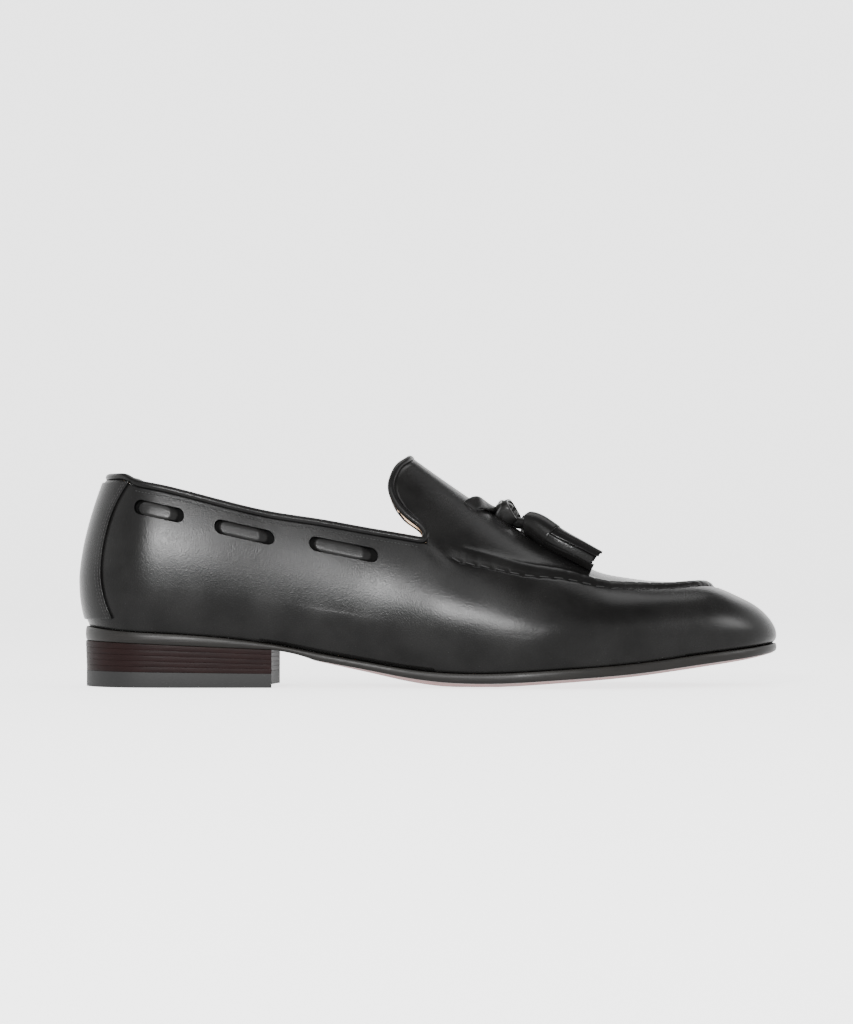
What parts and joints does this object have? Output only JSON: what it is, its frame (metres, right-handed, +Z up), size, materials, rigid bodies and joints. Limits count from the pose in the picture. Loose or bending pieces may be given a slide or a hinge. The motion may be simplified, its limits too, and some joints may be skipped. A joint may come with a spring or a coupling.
{
  "type": "tassel loafer",
  "caption": "Slip-on leather dress shoe with a raised apron seam, a lace through windows below the collar, and tassels over the instep.",
  "frame": {"origin": "centre of the heel's tread, on the floor", "axes": "+X from the heel to the toe, +Y to the inner side of the foot, +Z up"},
  "size_m": [0.3036, 0.102, 0.0998],
  "materials": {
    "black_calf": "black calf with a soft polish and fine grain",
    "tan_lining": "matt tan lining leather",
    "dark_red_sole": "dark red stained sole leather with a black edge",
    "stacked_heel": "dark brown-red stacked leather, waxed",
    "black_rubber": "matt black rubber"
  },
  "bodies": {
    "root": {"upper": "black_calf", "back_strap": "black_calf", "collar_binding": "black_calf", "tab_binding": "black_calf", "lace_bar_lateral_1": "black_calf", "lace_bar_lateral_2": "black_calf", "lace_bar_lateral_3": "black_calf", "lace_bar_medial_1": "black_calf", "lace_bar_medial_2": "black_calf", "lace_bar_medial_3": "black_calf", "insole": "tan_lining", "outsole": "dark_red_sole", "heel_lift_1": "stacked_heel", "heel_lift_2": "stacked_heel", "heel_lift_3": "stacked_heel", "heel_lift_4": "stacked_heel", "heel_lift_5": "stacked_heel", "top_lift": "black_rubber", "vamp_lace_lateral": "black_calf", "vamp_lace_medial": "black_calf", "lace_knot": "black_calf", "tassel_lateral": "black_calf", "tassel_medial": "black_calf"}
  },
  "joints": []
}
